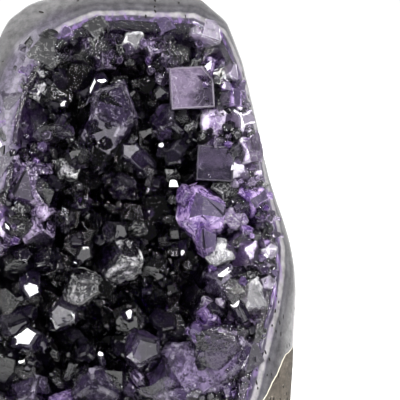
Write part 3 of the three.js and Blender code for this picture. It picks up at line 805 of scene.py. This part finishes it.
skins = {
    "milky": crystal_skin("milky_amethyst", (0.06, 0.036, 0.1), (0.45, 0.35, 0.55), 0.4),
    "lilac": crystal_skin("lilac_amethyst", (0.22, 0.15, 0.31), (0.75, 0.65, 0.84), 0.25, cloudiness=0.6),
    "pale": crystal_skin("pale_amethyst", (0.5, 0.42, 0.6), (0.93, 0.89, 0.97), 0.15, 0.004, 0.7),
    "violet": crystal_skin("violet_amethyst", (0.11, 0.055, 0.22), (0.46, 0.32, 0.6), 0.4, veil=0.4,
                           fleck=0.4),
    "frosted": crystal_skin("frosted_amethyst", (0.03, 0.028, 0.036), (0.65, 0.63, 0.68), 0.4, 0.0018,
                            0.42, 1.2, 0.0014),
    "silver": crystal_skin("silver_amethyst", (0.36, 0.35, 0.38), (0.95, 0.94, 0.96), 0.2, 0.002, 0.6,
                           1.2, 0.0014),
    "even": crystal_skin("even_amethyst", (0.035, 0.028, 0.045), (0.15, 0.118, 0.18), 0.3, 0.006, 0.6,
                         0.0, veil=0.25, fleck=0.15, edge=1, whole_edge=0.2, shadow=0.2),
    "dim": crystal_skin("dim_amethyst", (0.02, 0.016, 0.03), (0.09, 0.07, 0.12), 0.4, 0.006, 0.5, 0.0,
                        veil=0.15, fleck=0.15, edge=0.6, whole_edge=0.25, shadow=0.2),
    "hazy": crystal_skin("hazy_amethyst", (0.035, 0.024, 0.056), (0.145, 0.112, 0.195), 0.4, 0.005, 0.5,
                         0.2, veil=0.3, fleck=0.4),
    "smoky": crystal_skin("smoky_amethyst", (0.009, 0.005, 0.018), (0.08, 0.052, 0.125), 0.5, 0.005, 0.35,
                          0.2, veil=0.15, fleck=0.25, edge=0.35),
    "glassy": crystal_skin("glassy_amethyst", (0.02, 0.013, 0.036), (0.05, 0.036, 0.085), 0.6, 0.005, 0.3,
                           0, 0.0001, veil=0.05, fleck=0.1, gloss=0.015, edge=0.3),
}

larger_crystals = [
    # [x, z, width, lean to the right, lean upwards, turn, form, company, skin]
    (31, 135.2, 10.5, 0.1, 0.2, 20, "block", 1, "pale"),
    (17, 137.2, 8.5, 0.1, 0.0, 0, "block", 1, "violet"),
    (6.3, 132.3, 9.5, 0.3, 0.1, 20, "point", 0, "silver"),
    (14, 130.5, 8.5, -0.2, -0.3, 10, "block", 1, "milky"),
    (25.3, 117.4, 14.3, 0.12, 0.1, 3, "square", 0, "even"),
    (31.5, 124, 9.5, 0.2, -0.3, 0, "block", 1, "violet"),
    (38.2, 122, 7.5, 0.3, 0.2, 40, "block", 0, "pale"),
    (38.5, 114.5, 9.5, 0.3, -0.3, 10, "block", 1, "violet"),
    (33.7, 107.3, 10.5, 0.1, -0.6, 35, "point", 0, "lilac"),
    (41.5, 107.0, 10.5, 0.35, 0.1, 0, "block", 1, "pale"),
    (44, 97, 10.5, 0.3, -0.4, 30, "point", 1, "lilac"),
    (33.2, 92.7, 12.0, 0.1, 0.12, -4, "square", 0, "dim"),
    (39.5, 89.5, 9, 0.1, 0.2, 45, "point", 1, "pale"),
    (29, 76.5, 18, -0.1, 0.5, 10, "block", 2, "violet"),
    (45, 81, 12, 0.2, -0.1, 50, "block", 1, "violet"), (38, 75, 10.5, 0.1, 0.2, 20, "block", 2, "lilac"),
    (44.3, 63.5, 13, 0.2, 0.1, 20, "point", 1, "lilac"),
    (34.7, 64, 9.5, 0.2, -0.3, 45, "point", 1, "silver"),
    (36, 54.3, 13.5, -0.2, 0.2, 30, "block", 0, "hazy"), (46, 49, 13, 0.2, 0.2, 45, "point", 1, "silver"),
    (37, 31, 24, -0.2, 0.2, 40, "broad", 1, "hazy"), (19.5, 22, 28, 0.1, 0.3, 120, "broad", 1, "hazy"),
    (-6.3, 18.5, 16.5, 0.1, 0.1, 50, "point", 1, "hazy"),
    (-28, 17.5, 16.5, 0.1, 0.1, 30, "point", 1, "hazy"), (10, 32, 14, -0.1, 0.6, 20, "block", 1, "smoky"),
    (-29.7, 105, 19, -0.2, 0.1, 50, "block", 1, "lilac"),
    (-24.7, 117.3, 10, -0.2, -0.3, 60, "point", 1, "frosted"),
    (-32, 114, 11, -0.3, 0.3, 0, "block", 1, "milky"), (-25, 86, 17, -0.3, 0, 20, "point", 1, "milky"),
    (-34, 91, 13, -0.6, 0.6, 0, "block", 0, "milky"), (-37, 74, 13, -0.3, 0, 10, "block", 1, "lilac"),
    (-24.7, 71, 14, 0.1, 0.1, 50, "block", 0, "milky"),
    (-20, 129, 14, -0.3, 0.2, 45, "point", 2, "frosted"),
    (-5.7, 136.5, 9.5, -0.1, 0.1, 30, "point", 1, "frosted"),
    (-1.3, 107.3, 20, 0.1, 0.3, 200, "broad", 0, "hazy"),
    (2.7, 61.5, 15, 0, 0.1, 15, "point", 0, "frosted"),
    (-10.5, 52, 13.5, -0.1, 0.4, 20, "block", 1, "frosted"),
    (3, 86, 9, 0.1, -0.1, 50, "point", 1, "smoky"), (19.5, 89.5, 8, 0.3, 0.2, 40, "point", 1, "frosted"),
    (-15, 91, 9, -0.2, -0.1, 20, "point", 1, "frosted"), (18, 106, 13, 0.1, 0.1, 40, "block", 1, "smoky"),
    (-18, 105, 9, 0.1, 0.2, 10, "block", 1, "smoky"),
]
for count, (x, z, width, lean_right, lean_up, turn, form, company, skin) in enumerate(larger_crystals, 1):
    if form == "broad":
        stance = facing(x, z, None, turn, (lean_right, lean_up))
    else:
        stance = leaning(lean_right, lean_up, turn, form == "square")
    bodies = stand_crystal("block" if form == "broad" else form, x, z, width, stance, company)
    finish_crystals(f"{skin}_crystal_{count:02d}", bodies, skin)


# Clear crystals with one face that catches a lamp.
glints = [
    # [x, z, width, lamp, turn]
    (-5.3, 118.7, 6.5, "top_lamp", 200), (2.3, 118.3, 4.5, "left_lamp", 160),
    (12.7, 84.7, 3.0, "top_lamp", 100), (22.7, 64.7, 3.5, "front_left_lamp", 60),
    (41.3, 46.7, 5.5, "left_lamp", 240), (-28, 35.3, 10, "left_lamp", 150),
    (-23, 35, 4, "left_lamp", 240), (5.3, 44, 4.5, "right_strip", 300), (-35, 72.5, 4, "top_lamp", 60),
    (-15.3, 45, 11, "grey_card", 20), (-10, 79.5, 6, "grey_card", 160), (7, 95.7, 8, "grey_card", 270),
    (-27, 53, 7, "front_right_lamp", 30), (12, 51.5, 2.5, "top_lamp", 120),
    (-12, 61, 2.5, "high_left_strip", 70), (16, 98, 3, "high_left_strip", 200),
    (-4, 30, 3, "top_lamp", 250), (24, 45, 2.5, "right_strip", 90), (30, 86, 3, "top_lamp", 30),
    (-16, 113, 3, "left_lamp", 90), (10, 124, 3, "top_lamp", 220),
]
glassy = []
for x, z, width, lamp, turn in glints:
    glassy += stand_crystal("block", x, z, width, facing(x, z, lamp, turn), 0)

# Between them, crystals of middle size and last of small size, whose skins are as mixed: paler towards the
# mouth and smoky in the heart. At the mouth itself they lean inwards and many are ground off with the edge.
taken = [(row[0], row[1], row[2]) for row in larger_crystals + glints]
grown_of = {skin: [] for skin in skins}
grown_of["glassy"] = glassy
in_ring = (("milky", 0.42), ("lilac", 0.6), ("violet", 0.82), ("frosted", 0.95), ("pale", 1))
in_heart = (("smoky", 0.22), ("frosted", 0.27), ("glassy", 0.4))
fill_ring = (("smoky", 0.3), ("milky", 0.6), ("violet", 0.82), ("frosted", 0.95), ("lilac", 1))
fill_heart = (("smoky", 0.1), ("frosted", 0.12), ("glassy", 0.2))
# How far the bed lies behind the ground face: too little for a wide crystal, at the lip of the bowl, and on
# the slope below it.
too_shallow, at_lip, on_slope = 0.002, 0.003, 0.005
for pitch, widths, crowding, company, ring_mix, heart_mix in (
    (3.4, (4.5, 11), 0.36, 1, in_ring, in_heart), (2.2, (2.4, 5), 0.3, 0, fill_ring, fill_heart)
):
    for column in range(int(-60 / pitch), int(60 / pitch) + 1):
        for row in range(int(5 / pitch), int(148 / pitch)):
            x, z = pitch * (column + random.uniform(-0.5, 0.5)), pitch * (row + random.uniform(-0.5, 0.5))
            width, turn, luck = random.uniform(*widths), random.uniform(-60, 60), random.random()
            lean_right, lean_up = random.uniform(-0.7, 0.7), random.uniform(-0.6, 0.8)
            form = random.choice(("block", "block", "point"))
            ground_face, _ = seen_from_front(face_of_lump, x / 1000, z / 1000)
            if ground_face is None:
                continue
            seat, _ = seen_from_front(front_of_crust, x / 1000, z / 1000)
            room = seat.y - ground_face.y if seat else 0
            outside_mouth = 0 if seat else roots.find_nearest(ground_face)[3]
            reach = 0.0065 if x < -8 and 95 < z < 138 else 0.004 if x < -20 else 0.0
            if room < too_shallow:
                width = min(width, 5.5)
            if outside_mouth > reach or (z > 128 and x > -12 and room < at_lip):
                continue
            from_heart = min(
                math.hypot((x / 1000 - middle[0]) / across[0], (z / 1000 - middle[2]) / across[2])
                for middle, across in heart_lobes
            )
            if any(math.hypot(x - other[0], z - other[1]) < crowding * (width + other[2]) for other in taken):
                continue
            taken.append((x, z, width))
            mix = ring_mix if from_heart > 0.95 else heart_mix
            skin = next((name for name, share in mix if luck <= share), None)
            if skin is None:
                continue
            if room < on_slope:
                towards_middle = Vector((0.0 - x, 75.0 - z)).normalized() * random.uniform(0.3, 0.9)
                lean_right, lean_up = 0.4 * lean_right + towards_middle.x, 0.4 * lean_up + towards_middle.y
            stance = leaning(lean_right, lean_up, turn)
            # Crystals in and near the heart get darker skins, partly painted shade of the deep bowl. Those at
            # the far left and low on the right are kept darker too.
            dim = from_heart < 1.25 or x < -25 or (x > 0 and z < 62)
            lightness = (0, 0.3) if from_heart < 0.95 else (0, 0.55) if dim else (0.2, 1)
            grown_of[skin] += stand_crystal(form, x, z, width, stance, company, lightness)
for skin, bodies in grown_of.items():
    if bodies:
        finish_crystals(f"{skin}_crystals_between", bodies, skin)
for pattern in forms["block"] + forms["point"] + forms["square"] + [ground_form]:
    bpy.data.objects.remove(pattern)
